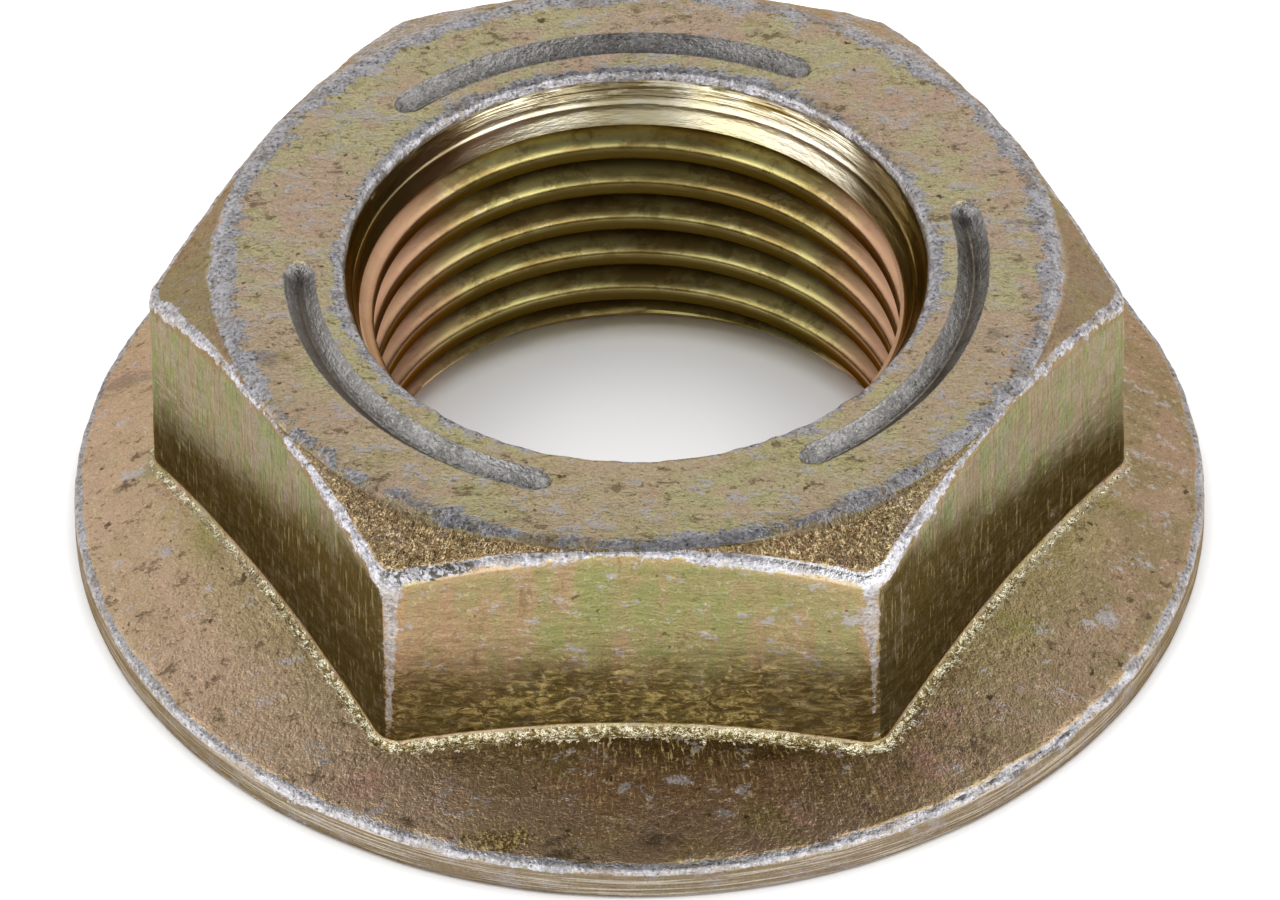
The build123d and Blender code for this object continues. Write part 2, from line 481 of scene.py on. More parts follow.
class Skin:
    """The nut's points in millimetres, their marks and the faces between them."""

    def __init__(self):
        self.points, self.marks, self.faces = [], [], []

    def put(self, radius, angle, height, mark):
        t = math.radians(angle)
        self.points.append((radius * math.cos(t), radius * math.sin(t), height))
        self.marks.append(mark)
        return len(self.points) - 1

    def outer_ring(self, radius, height, zone):
        found = outer_marks(radius, height, zone)
        return [self.put(radius[i], angle, height[i], {name: found[name][i] for name in MARKS})
                for i, angle in enumerate(OUTER_ANGLES)]

    def bore_ring(self, radii, height):
        return [self.put(radius, angle, height, BORE_MARK) for radius, angle in zip(radii, BORE_ANGLES)]

    def face(self, corners):
        """A face, unless fewer than three of its corners are different points."""
        corners = [v for k, v in enumerate(corners) if v not in corners[:k]]
        if len(corners) > 2:
            self.faces.append(corners)

    def join(self, upper, lower):
        """Faces all round between two rings with as many points."""
        for i in range(len(upper)):
            j = (i + 1) % len(upper)
            self.face([upper[i], lower[i], lower[j], upper[j]])

    def stitch(self, fine, coarse, coarse_below):
        """Triangles all round between an outer ring and a bore ring of half as many points."""
        for i, near in enumerate(coarse):
            far = coarse[(i + 1) % len(coarse)]
            a, b, c = fine[2 * i], fine[2 * i + 1], fine[(2 * i + 2) % len(fine)]
            for corners in ((near, a, b), (near, b, far), (far, b, c)):
                self.faces.append(corners if coarse_below else (corners[1], corners[0], corners[2]))


def add_recess(skin):
    """The steep recess below the mouth, with one tool mark, down to the lip."""
    lip = LIP_RADIUS - LIP_SHIFT * np.cos(np.radians(BORE_ANGLES))
    top = HEIGHT - MOUTH_EDGE_WIDTH - RECESS_GAP
    rings = []
    for along in RECESS_SHARES:
        radii = MOUTH_RADIUS + (lip - MOUTH_RADIUS) * along - TOOL_MARK_DEPTH * (along == TOOL_MARK_SHARE)
        rings.append(skin.bore_ring(radii, top + (LIP_HEIGHT - top) * along))
    return rings


def add_thread(skin, lip_ring):
    """Helical rows of the thread, cut off at the lip above and the countersink below."""
    rows = thread_rows()
    count = len(BORE_ANGLES)
    per_pitch = len(rows)
    turns = int(math.ceil(HEIGHT / PITCH)) + 2
    edge_height = CREST_HEIGHT_BEHIND + PITCH * (BORE_ANGLES - 90.0) / 360.0

    def wall(i, height):
        return max(float(thread_radius(edge_height[i] - height)), COUNTERSINK_RADIUS - height)

    top_ring, low_ring = (skin.bore_ring([wall(i, height) for i in range(count)], height)
                          for height in (LIP_HEIGHT, THREAD_START_HEIGHT))
    skin.join(top_ring, lip_ring)
    thread = []
    for j in range((turns + 1) * per_pitch + 1):
        turn, k = divmod(j, per_pitch)
        # How much painted shade this row gets
        drop, darkness = rows[k]
        thread.append([])
        for i, angle in enumerate(BORE_ANGLES):
            height = edge_height[i] + 2 * PITCH - turn * PITCH - drop
            if height >= LIP_HEIGHT:
                thread[j].append(top_ring[i])
            elif height <= THREAD_START_HEIGHT:
                thread[j].append(low_ring[i])
            else:
                thread[j].append(skin.put(wall(i, height), angle, height, {**BORE_MARK, "dark": darkness}))
    for j in range(len(thread) - 1):
        for i in range(count - 1):
            skin.face([thread[j][i], thread[j][i + 1], thread[j + 1][i + 1], thread[j + 1][i]])
        # Once round, the same crest is a pitch higher
        k = j + per_pitch
        if k + 1 < len(thread):
            skin.face([thread[k][-1], thread[j][0], thread[j + 1][0], thread[k + 1][-1]])
    return low_ring


def build_skin():
    """The whole nut as one closed skin: outside, recess, thread and countersink."""
    skin = Skin()
    outside = [skin.outer_ring(*row) for row in outer_rows()]
    for upper, lower in zip(outside, outside[1:]):
        skin.join(upper, lower)
    recess = add_recess(skin)
    skin.stitch(outside[0], recess[0], coarse_below=True)
    for upper, lower in zip(recess, recess[1:]):
        skin.join(lower, upper)
    low_ring = add_thread(skin, recess[-1])
    for height in COUNTERSINK_HEIGHTS:
        ring = skin.bore_ring([COUNTERSINK_RADIUS - height] * len(BORE_ANGLES), height)
        skin.join(ring, low_ring)
        low_ring = ring
    skin.stitch(outside[-1], low_ring, coarse_below=False)
    return skin


# Forging unevenness in millimetres: the size of its bumps and how far they move the skin
SOFT_SIZE, SOFT_MOVE = 2.2, 0.02
GRIT_SIZE, GRIT_MOVE = 0.32, 0.006
LUMP_SIZE = 0.9
GRIT_MOVE_AT_ROOT = 0.03
GRIT_MOVE_ON_CROWN = 0.012
GRIT_MOVE_AT_EDGE = 0.02
LUMP_MOVE_AT_EDGE = 0.045
EDGE_LOSS = 0.03
BURR_FACTOR = 3.0


def uneven(points, normals, marks):
    """Forging unevenness, grains and nicks, along the surface's own normals."""
    out = points.copy()
    for i, (p, n, m) in enumerate(zip(points, normals, marks)):
        if m["bore"] > 0.5:
            continue
        v = Vector(p)
        grit = noise.noise(v / GRIT_SIZE + Vector((3.0, 7.0, 1.0)))
        lump = noise.noise(v / LUMP_SIZE + Vector((9.0, 2.0, 5.0)))
        move = noise.noise(v / SOFT_SIZE) * SOFT_MOVE
        move += grit * (GRIT_MOVE + GRIT_MOVE_AT_ROOT * m["root"] + GRIT_MOVE_ON_CROWN * m["crown"])
        edge = (grit * GRIT_MOVE_AT_EDGE + lump * LUMP_MOVE_AT_EDGE - EDGE_LOSS) * m["wear"]
        if math.hypot(p[0], p[1]) > FLANGE_RADIUS - 1.0:
            from_burr = abs(math.degrees(math.atan2(p[1], p[0])) - BURR_MIDDLE) / BURR_REACH
            edge *= 1.0 + BURR_FACTOR * max(0.0, 1.0 - from_burr)
        out[i] = p + n * (move + edge)
    radius = np.hypot(out[:, 0], out[:, 1])
    shrink = np.minimum(1.0, FLANGE_RADIUS / np.maximum(radius, 1e-6))
    out[:, :2] *= shrink[:, None]
    out[:, 2] = np.clip(out[:, 2], 0.0, HEIGHT)
    return out


def make_nut():
    skin = build_skin()
    points = np.array(skin.points)
    mesh = bpy.data.meshes.new("nut")
    mesh.from_pydata([tuple(p) for p in points * MM], [], skin.faces)
    mesh.validate()
    normals = np.array([n.vector[:] for n in mesh.vertex_normals])
    points = uneven(points, normals, skin.marks)
    mesh.vertices.foreach_set("co", (points * MM).ravel())
    mesh.update()
    for name in MARKS:
        attribute = mesh.attributes.new(name, "FLOAT", "POINT")
        attribute.data.foreach_set("value", np.array([m[name] for m in skin.marks], dtype=np.float32))
    mesh.shade_smooth()
    mesh.set_sharp_from_angle(angle=math.radians(38.0))
    nut = bpy.data.objects.new("nut", mesh)
    bpy.context.scene.collection.objects.link(nut)
    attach(nut, "root")
    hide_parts(NUT)
    return nut


# Colours of the coat, as sRGB values of 0..255
TONES = {
    # Chromate
    "tan": (226, 200, 174), "straw": (222, 212, 168), "moss": (214, 206, 146),
    "salmon": (232, 198, 176), "khaki": (186, 174, 118),
    # Flange
    "clay": (208, 172, 144), "sage": (180, 162, 116), "blush": (232, 198, 170), "umber": (158, 134, 106),
    "lichen": (176, 168, 92), "earth": (124, 100, 56), "russet": (142, 104, 76), "bog": (84, 66, 28),
    # Scuffs, flecks, pits and scratches of the chromate
    "lilac": (220, 214, 216), "dun": (132, 112, 88), "soil": (120, 102, 78), "cream": (240, 222, 186),
    "pit": (84, 70, 52), "bright scratch": (240, 216, 150), "dark scratch": (78, 58, 30),
    # Single blemishes, the gold ones with painted glints
    "gold painted glint": (244, 216, 154), "gold gap": (126, 102, 60), "olive": (166, 164, 84),
    "pink": (206, 158, 142), "scuff": (216, 212, 218), "stain": (80, 62, 42), "shade": (120, 106, 106),
    # Front flat, with painted shade, highlights and glints on its lower wrinkles
    "side tan": (184, 158, 122), "side sage": (168, 160, 112), "side green": (152, 166, 100),
    "side pink": (184, 148, 118), "side orange": (198, 156, 120), "side brown": (140, 118, 84),
    "side scuff": (190, 184, 184), "side soil": (116, 98, 64), "side cream": (216, 206, 176),
    "side pit": (84, 68, 44), "painted_shade_zone": (112, 92, 48), "painted highlight ridge": (214, 188, 122),
    "painted glint fleck": (240, 218, 156), "painted shade gap": (72, 54, 26), "painted shade moss": (74, 62, 26),
    # Other flats, olive in painted shade
    "film tan": (166, 152, 130), "film green": (150, 158, 118), "film scuff": (190, 180, 172),
    "shaded olive": (88, 78, 50), "olive scuff": (142, 130, 110), "bright scrape": (186, 174, 134),
    "dark scrape": (70, 60, 34),
    # Crown, rim and root, with painted shade on the crown and painted glints on its grains and along the
    # root
    "crown": (140, 118, 90), "grain": (232, 204, 156), "grain gap": (128, 100, 64),
    "dull grain": (150, 122, 86), "turned ridge": (188, 178, 166), "turned gap": (130, 114, 94),
    "rim scuff": (166, 160, 162), "painted_glint": (252, 244, 212), "dull painted glint": (146, 126, 72),
    "painted glint gap": (96, 76, 36),
    # Bare metal, with a painted highlight where it is polished
    "bare": (174, 171, 175), "bare light": (212, 210, 216), "bare salt": (238, 236, 238),
    "bare tan": (166, 148, 120), "bare pepper": (84, 80, 82), "bare side": (178, 162, 142),
    "bare rim": (150, 142, 136), "polish_and_painted_highlight": (250, 250, 252), "flake": (78, 72, 56),
    "bare shade": (104, 96, 104),
    # Crimped grooves, with painted shade behind and painted light on the left
    "steel": (140, 137, 134), "steel light": (172, 170, 168), "steel salt": (206, 202, 196),
    "steel pepper": (96, 94, 94), "steel valley": (226, 222, 212), "steel painted shade": (104, 98, 92),
    "steel painted light": (196, 192, 190),
    # Bore
    "gold": (250, 244, 222), "gold warm": (244, 232, 190), "gold line": (120, 98, 48),
    "gold stain": (132, 106, 52), "gold shade": (128, 104, 62), "thread": (186, 162, 100),
    "thread light": (228, 216, 144), "thread brown": (126, 106, 56), "thread scuff": (232, 222, 186),
    "thread pink": (222, 172, 144), "thread shade": (84, 68, 30), "pink shade": (104, 70, 38),
    # Edge-on reflection of all metal
    "specular": (190, 170, 140),
}


def tone(name):
    """A named tone as the linear colour of a shader socket."""
    def linear(v):
        v /= 255.0
        return v / 12.92 if v <= 0.04045 else ((v + 0.055) / 1.055) ** 2.4
    return (*map(linear, TONES[name]), 1.0)


class Graph:
    """Short names for shader nodes. A value may be a socket, a number or a tone's name."""

    def __init__(self, tree):
        self.tree = tree

    def node(self, kind, **settings):
        node = self.tree.nodes.new(kind)
        for key, value in settings.items():
            setattr(node, key, value)
        return node

    def feed(self, socket, value):
        if isinstance(value, bpy.types.NodeSocket):
            self.tree.links.new(value, socket)
        else:
            socket.default_value = tone(value) if isinstance(value, str) else value

    def math(self, operation, a, b=0.0, c=0.0):
        node = self.node("ShaderNodeMath", operation=operation)
        for socket, value in zip(node.inputs, (a, b, c)):
            self.feed(socket, value)
        return node.outputs[0]

    def times(self, first, *others):
        product = first
        for other in others:
            product = self.math("MULTIPLY", product, other)
        return product

    def plus(self, value, factor, more):
        """Value with more, times a factor, added to it."""
        return self.math("MULTIPLY_ADD", more, factor, value)

    def step(self, value, start, end, full=1.0):
        """0 up to start and full from end on, with a smooth change between."""
        node = self.node("ShaderNodeMapRange", interpolation_type="SMOOTHSTEP")
        self.feed(node.inputs["Value"], value)
        node.inputs["From Min"].default_value = start
        node.inputs["From Max"].default_value = end
        node.inputs["To Max"].default_value = full
        return node.outputs["Result"]

    def noise(self, where, size, detail=2.0, stretch=(1.0, 1.0, 1.0), roughness=0.5, shift=0.0, twist=0.0):
        """Noise round 0.5 whose features are size millimetres wide, over their stretch."""
        scale = self.node("ShaderNodeMapping")
        self.feed(scale.inputs["Vector"], where)
        scale.inputs["Scale"].default_value = [s / size for s in stretch]
        scale.inputs["Location"].default_value = (shift, shift * 0.7, shift * 1.3)
        node = self.node("ShaderNodeTexNoise")
        self.feed(node.inputs["Vector"], scale.outputs[0])
        node.inputs["Scale"].default_value = 1.0
        node.inputs["Detail"].default_value = detail
        node.inputs["Roughness"].default_value = roughness
        node.inputs["Distortion"].default_value = twist
        return node.outputs["Fac"]

    def mixed(self, kind, amount, a, b):
        """a where the amount is 0 and b where it is 1."""
        node = self.node("ShaderNodeMix", data_type=kind)
        self.feed(node.inputs["Factor"], amount)
        self.feed(node.inputs["A"], a)
        self.feed(node.inputs["B"], b)
        return node.outputs["Result"]

    def mix(self, amount, a, b):
        return self.mixed("RGBA", amount, a, b)

    def blend(self, amount, a, b):
        return self.mixed("FLOAT", amount, a, b)

    def split(self, vector):
        node = self.node("ShaderNodeSeparateXYZ")
        self.feed(node.inputs[0], vector)
        return node.outputs

    def scaled(self, vector, factor):
        node = self.node("ShaderNodeVectorMath", operation="SCALE")
        self.feed(node.inputs[0], vector)
        self.feed(node.inputs["Scale"], factor)
        return node.outputs[0]


class Coat(Graph):
    """A graph with the nut's places in millimetres, its marks and the noises of its coat."""

    def __init__(self, tree):
        super().__init__(tree)
        self.here = self.scaled(self.node("ShaderNodeTexCoord").outputs["Object"], 1.0 / MM)
        self.x, self.y, self.z = self.split(self.here)
        self.mark = {name: self.node("ShaderNodeAttribute", attribute_name=name).outputs["Fac"]
                     for name in MARKS}
        self.outward = self.math("SQRT", self.plus(self.times(self.x, self.x), self.y, self.y))
        self.add_noises()
        self.add_places()

    def unrolled(self):
        """Places unrolled round the axis: along the arc, outwards, up."""
        node = self.node("ShaderNodeCombineXYZ")
        self.feed(node.inputs[0], self.times(self.math("ARCTAN2", self.y, self.x), CROWN_CIRCLE_RADIUS))
        self.feed(node.inputs[1], self.outward)
        self.feed(node.inputs[2], self.z)
        return node.outputs[0]

    def add_noises(self):
        """Noises from the broadest clouds to the finest grains, and those drawn out to strokes."""
        here, around = self.here, self.unrolled()
        self.broad = self.noise(here, 4.5, 3.0, roughness=0.7)
        self.cloud = self.noise(here, 1.6, 5.0, roughness=0.75, shift=5.0)
        self.scuff = self.noise(here, 0.8, 5.0, stretch=(0.6, 1.0, 1.0), roughness=0.8, shift=7.0)
        self.fleck = self.noise(here, 0.26, 3.0, roughness=0.7, shift=9.0)
        self.pits = self.noise(here, 0.5, 2.0, roughness=0.6, shift=11.0)
        self.grain = self.noise(here, 0.085, 2.0, shift=13.0)
        self.glint = self.noise(here, 0.11, 2.0, roughness=0.7, shift=17.0)
        self.stroke = self.noise(around, 0.11, 2.0, stretch=(1.0, 0.35, 0.6), roughness=0.7,
                                 shift=19.0, twist=0.6)
        self.streak = self.noise(here, 0.8, 5.0, stretch=(1.0, 1.0, 0.25), roughness=0.7, shift=21.0)
        self.salt = self.noise(here, 0.13, 3.0, roughness=0.6, shift=31.0)
        self.wrinkle = self.noise(here, 0.3, 5.0, stretch=(0.45, 0.45, 1.0), roughness=0.8,
                                  shift=41.0, twist=1.2)
        self.turning = self.noise(here, 0.075, 2.0, stretch=(0.02, 0.02, 1.0), roughness=0.6, shift=51.0)
        self.smear = self.noise(here, 1.2, 5.0, stretch=(0.4, 0.4, 1.6), roughness=0.65, shift=61.0)
        self.scratch = self.noise(around, 0.09, 3.0, stretch=(1.0, 0.16, 0.16), roughness=0.6, shift=71.0)
        self.scrape = self.noise(here, 0.16, 3.0, stretch=(1.2, 1.2, 0.14), roughness=0.6, shift=81.0)

    def add_places(self):
        """Places that more than one layer, or also roughness and relief, need."""
        dark = self.mark["dark"]
        self.foot = self.times(self.mark["cone"], self.step(self.plus(dark, 1.3, self.cloud), 0.75, 1.45))
        # Painted shade over the flats' lower part, reaching higher on the flats in painted shade
        self.lower_flat_painted_shade = self.step(self.plus(self.plus(self.z, -1.8, dark), -6.0, self.cloud), 4.1, 1.6)
        # Painted glints along the root
        self.painted_root_glints = self.step(self.plus(self.mark["root"], 1.8, self.fleck), 1.4, 1.5)
        # Painted shade at the recess's left and right
        self.recess_painted_shade = self.math("MAXIMUM", self.step(self.x, -5.3, -6.6), self.step(self.x, 6.6, 7.8))
        self.pressed = self.step(self.plus(self.mark["groove"], 0.16, self.fleck), 0.54, 0.58)
        # The front flat's upper edge, polished at its right end, where a highlight is painted
        self.brow = self.times(self.step(self.y, -12.6, -13.2), self.step(self.z, 9.2, 9.8))
        self.polish_and_painted_highlight = self.times(self.brow, self.step(self.x, 3.0, 6.0), self.step(self.x, 8.9, 8.4))
        self.worn = self.worn_edges()
        self.above = self.step(self.z, 1.0, 1.3)
        self.ragged = self.plus(self.times(self.cloud, 0.28), 0.36, self.math("ADD", self.fleck, self.scuff))

    def worn_edges(self):
        """1 on the ragged bare edges, which are narrower on the crown's front circle."""
        edge = self.plus(self.mark["wear"], 2.2, self.scuff)
        edge = self.plus(edge, 1.4, self.broad)
        edge = self.plus(edge, 0.7, self.fleck)
        narrow = self.times(self.step(self.z, 10.6, 10.9), self.step(self.y, -4.0, -11.0))
        return self.step(self.plus(edge, -0.22, narrow), 2.63, 2.77)

    def blemish(self, kind):
        """1 inside the blemishes of one kind, ragged at their edges, on faces that look up."""
        nearest = 2.0
        for x, y, reach_x, reach_y in BLEMISHES[kind]:
            place = self.node("ShaderNodeVectorMath", operation="MULTIPLY_ADD")
            self.feed(place.inputs[0], self.here)
            place.inputs[1].default_value = (1.0 / reach_x, 1.0 / reach_y, 0.0)
            place.inputs[2].default_value = (-x / reach_x, -y / reach_y, 0.0)
            away = self.node("ShaderNodeVectorMath", operation="LENGTH")
            self.feed(away.inputs[0], place.outputs[0])
            nearest = self.math("MINIMUM", nearest, away.outputs["Value"])
        return self.times(self.above, self.step(self.plus(nearest, -8.0, self.ragged), -3.0, -3.8))


def chromate(g):
    """Tan with green-olive and pink clouds, greener at the front."""
    coat = g.mix(g.step(g.broad, 0.44, 0.56), "tan", "straw")
    coat = g.mix(g.step(g.y, 1.0, -9.0, 0.3), coat, "moss")
    coat = g.mix(g.step(g.cloud, 0.52, 0.6, 0.5), coat, "salmon")
    return g.mix(g.step(g.cloud, 0.45, 0.36, 0.55), coat, "khaki")


def flange(g, coat):
    """Pinker than the top, olive by the hexagon, brown at its foot in front."""
    dark, cone = g.mark["dark"], g.mark["cone"]
    clay = g.mix(g.step(g.cloud, 0.44, 0.6), "clay", "sage")
    clay = g.mix(g.step(g.x, 2.0, -9.0, 0.66), clay, "blush")
    clay = g.mix(g.step(g.x, 6.0, 15.0, 0.35), clay, "umber")
    clay = g.mix(g.step(g.plus(g.outward, 5.0, g.cloud), 19.6, 17.6, 0.4), clay, "lichen")
    coat = g.mix(g.times(cone, 0.85), coat, clay)
    brown = g.mix(g.step(g.plus(g.broad, 0.3, g.scuff), 0.62, 0.7), "earth", "russet")
    coat = g.mix(g.times(g.foot, 0.82), coat, brown)
    deep = g.times(cone, g.step(g.plus(dark, 0.5, g.cloud), 0.95, 1.2))
    return g.mix(g.times(deep, 0.85), coat, "bog"), deep


def scuffed(g, coat, deep):
    """Grey scuffs, flecks and pits on the top and the flange, scratches in its dark foot."""
    coat = g.mix(g.step(g.plus(g.scuff, -0.035, g.mark["cone"]), 0.545, 0.6, 0.75), coat, "lilac")
    coat = g.mix(g.step(g.scuff, 0.43, 0.36, 0.75), coat, "dun")
    coat = g.mix(g.step(g.fleck, 0.4, 0.32, 0.6), coat, "soil")
    coat = g.mix(g.step(g.fleck, 0.58, 0.66, 0.5), coat, "cream")
    coat = g.mix(g.step(g.pits, 0.315, 0.26, 0.8), coat, "pit")
    scratched = g.plus(g.times(g.foot, 0.45), 0.5, deep)
    coat = g.mix(g.times(scratched, g.step(g.scratch, 0.57, 0.66)), coat, "bright scratch")
    return g.mix(g.times(scratched, g.step(g.scratch, 0.42, 0.32)), coat, "dark scratch")


def blemished(g, coat, shade):
    """The single marks, at their places in the photograph."""
    # The gold blemishes' bright grains are painted glints
    gold = g.mix(g.step(g.glint, 0.48, 0.56), "gold gap", "gold painted glint")
    for kind, strength, colour in (("olive", 0.45, "olive"), ("pink", 0.5, "pink"), ("gold", 0.9, gold),
                                   ("scuff", 0.65, "scuff"), ("stain", 0.7, "stain")):
        coat = g.mix(g.times(g.blemish(kind), strength), coat, colour)
    return g.mix(g.times(shade, 0.45), coat, "shade")


def front_flat(g):
    """Green and pink streaks that run down; below, wrinkles in painted shade with painted highlights and
    glints.
    """
    side = g.mix(g.step(g.streak, 0.42, 0.58), "side tan", "side sage")
    side = g.mix(g.step(g.broad, 0.48, 0.56, 0.4), side, "side green")
    side = g.mix(g.step(g.x, -2.5, -7.5, 0.45), side, "side pink")
    side = g.mix(g.step(g.mark["wear"], 0.02, 0.3, 0.35), side, "side orange")
    side = g.mix(g.step(g.streak, 0.4, 0.33, 0.6), side, "side brown")
    side = g.mix(g.step(g.scuff, 0.57, 0.61, 0.8), side, "side scuff")
    side = g.mix(g.step(g.fleck, 0.4, 0.32, 0.4), side, "side soil")
    side = g.mix(g.step(g.fleck, 0.6, 0.66, 0.4), side, "side cream")
    side = g.mix(g.step(g.pits, 0.31, 0.26, 0.7), side, "side pit")
    # Painted shade, with painted highlights on the wrinkles' ridges, painted glints and deeper painted shade
    # in the troughs
    painted_shade_zone = g.mix(g.step(g.wrinkle, 0.48, 0.6), "painted_shade_zone", "painted highlight ridge")
    painted_shade_zone = g.mix(g.step(g.fleck, 0.56, 0.64, 0.5), painted_shade_zone, "painted glint fleck")
    painted_shade_zone = g.mix(g.step(g.wrinkle, 0.47, 0.36), painted_shade_zone, "painted shade gap")
    painted_shade_zone = g.mix(g.step(g.broad, 0.5, 0.42, 0.5), painted_shade_zone, "painted shade moss")
    return g.mix(g.times(g.lower_flat_painted_shade, 0.85), side, painted_shade_zone)


def other_flat(g):
    """Grey-green film above the flange's reflection, painted in as olive shade."""
    film = g.mix(g.step(g.streak, 0.42, 0.58), "film tan", "film green")
    film = g.mix(g.step(g.scuff, 0.5, 0.58, 0.5), film, "film scuff")
    # Painted olive shade low on the flats and towards the front
    shaded = g.step(g.plus(g.plus(g.z, 0.42, g.y), -3.0, g.cloud), 4.3, 1.9)
    side = g.mix(shaded, film, "shaded olive")
    side = g.mix(g.step(g.scuff, 0.52, 0.6, 0.35), side, "olive scuff")
    side = g.mix(g.step(g.scrape, 0.56, 0.68, 0.55), side, "bright scrape")
    return g.mix(g.step(g.scrape, 0.44, 0.34, 0.3), side, "dark scrape")


def flats(g, coat):
    # Flats in painted shade take the other flats' paint
    side = g.mix(g.step(g.mark["dark"], 0.2, 0.6, 0.95), front_flat(g), other_flat(g))
    return g.mix(g.step(g.mark["flat"], 0.02, 0.3), coat, side)


def grainy(g, coat):
    """Grains with painted glints on the crown, painted shade on the crown, the flats' edges and the root,
    the turned rim and painted glints along the root.
    """
    # The crown's granular skin, its bright grains painted glints
    grains = g.mix(g.step(g.stroke, 0.46, 0.6), "grain gap", "grain")
    grains = g.mix(g.step(g.fleck, 0.4, 0.56), "dull grain", grains)
    elsewhere = g.math("MAXIMUM", g.math("MAXIMUM", g.mark["flat"], g.mark["cone"]), g.mark["bore"])
    rest = g.math("SUBTRACT", 1.0, elsewhere)
    # Painted shade on the crown, the flats' edges and the root
    coat = g.mix(g.times(g.mark["dark"], rest, 0.85), coat, "crown")
    coat = g.mix(g.times(g.mark["crown"], 0.85), coat, grains)
    turned = g.mix(g.step(g.turning, 0.5, 0.6), "turned gap", "turned ridge")
    turned = g.mix(g.step(g.scuff, 0.5, 0.62, 0.4), turned, "rim scuff")
    coat = g.mix(g.times(g.mark["rim"], 0.9), coat, turned)
    # Painted glints along the root
    painted_glint = g.mix(g.step(g.fleck, 0.4, 0.58), "dull painted glint", "painted_glint")
    painted_glint = g.mix(g.step(g.glint, 0.44, 0.36, 0.8), painted_glint, "painted glint gap")
    return g.mix(g.painted_root_glints, coat, painted_glint)


def bare_edges(g, coat, shade):
    """Salt-and-pepper grey, polished with a painted highlight at the right of the front edge, flaked at its
    left.
    """
    coarse = g.noise(g.here, 0.5, 4.0, roughness=0.7, shift=33.0)
    bare = g.mix(g.step(coarse, 0.4, 0.6), "bare", "bare light")
    bare = g.mix(g.step(g.salt, 0.5, 0.62, 0.8), bare, "bare salt")
    bare = g.mix(g.step(g.cloud, 0.52, 0.62, 0.5), bare, "bare tan")
    bare = g.mix(g.step(g.salt, 0.41, 0.34, 0.85), bare, "bare pepper")
    bare = g.mix(g.times(g.mark["flat"], 0.45), bare, "bare side")
    bare = g.mix(g.step(g.outward, 18.0, 18.6, 0.2), bare, "bare rim")
    # Painted highlight on the polished spot
    bare = g.mix(g.times(g.polish_and_painted_highlight, 0.45), bare, "polish_and_painted_highlight")
    flake = g.times(g.brow, g.step(g.x, -4.6, -5.6), g.step(g.x, -8.4, -8.0), g.step(g.fleck, 0.46, 0.54))
    bare = g.mix(g.times(flake, 0.85), bare, "flake")
    bare = g.mix(g.times(shade, 0.6), bare, "bare shade")
    return g.mix(g.worn, coat, bare)


def grooves(g, coat):
    """Bare steel, bright along the valley, with painted shade behind and painted light to the left."""
    steel = g.mix(g.step(g.cloud, 0.4, 0.6), "steel", "steel light")
    steel = g.mix(g.step(g.salt, 0.54, 0.64, 0.6), steel, "steel salt")
    steel = g.mix(g.step(g.salt, 0.42, 0.34, 0.5), steel, "steel pepper")
    steel = g.mix(g.step(g.mark["groove"], 0.955, 0.99, 0.7), steel, "steel valley")
    # Painted shade behind and painted light on the left
    steel = g.mix(g.step(g.y, 4.0, 9.0, 0.25), steel, "steel painted shade")
    steel = g.mix(g.step(g.x, -7.0, -10.0, 0.4), steel, "steel painted light")
    return g.mix(g.pressed, coat, steel)


def bore(g, coat):
    """Bright gold recess with dark lines and painted shade at its left and right, then the thread: olive,
    pink at both sides, with painted shade on its crests and roots.
    """
    upper = g.step(g.z, LIP_HEIGHT + 0.7, LIP_HEIGHT + 1.0)
    lines = g.noise(g.here, 0.16, 4.0, stretch=(0.03, 0.03, 1.0), roughness=0.7, shift=53.0)
    gold = g.mix(g.step(g.broad, 0.4, 0.6), "gold", "gold warm")
    gold = g.mix(g.times(upper, g.step(lines, 0.5, 0.4)), gold, "gold line")
    gold = g.mix(g.times(upper, g.step(g.smear, 0.48, 0.42, 0.6)), gold, "gold stain")
    # Painted shade at the recess's left and right
    gold = g.mix(g.times(g.recess_painted_shade, 0.85), gold, "gold shade")
    thread = g.mix(g.step(g.smear, 0.42, 0.58), "thread", "thread light")
    thread = g.mix(g.step(g.cloud, 0.5, 0.42, 0.5), thread, "thread brown")
    thread = g.mix(g.step(g.scuff, 0.58, 0.64, 0.4), thread, "thread scuff")
    pink = g.step(g.math("ABSOLUTE", g.x), 5.4, 8.0)
    thread = g.mix(g.times(pink, 0.85), thread, "thread pink")
    # Painted shade on the thread's crests and roots, browner at the pink sides
    shadow = g.mix(pink, "thread shade", "pink shade")
    thread = g.mix(g.math("POWER", g.mark["dark"], 0.8), thread, shadow)
    inside = g.mix(g.step(g.z, LIP_HEIGHT + 0.1, LIP_HEIGHT - 0.05), gold, thread)
    return g.mix(g.mark["bore"], coat, inside)


def colour(g):
    """All layers of the coat, with fine salt-and-pepper everywhere but in the bore."""
    shade = g.blemish("shade")
    coat, deep = flange(g, chromate(g))
    coat = scuffed(g, coat, deep)
    coat = blemished(g, coat, shade)
    coat = flats(g, coat)
    coat = grainy(g, coat)
    coat = bare_edges(g, coat, shade)
    coat = grooves(g, coat)
    coat = bore(g, coat)
    pepper = g.math("MULTIPLY_ADD", g.grain, 0.7, 0.66)
    return g.scaled(coat, g.blend(g.mark["bore"], pepper, 1.0))


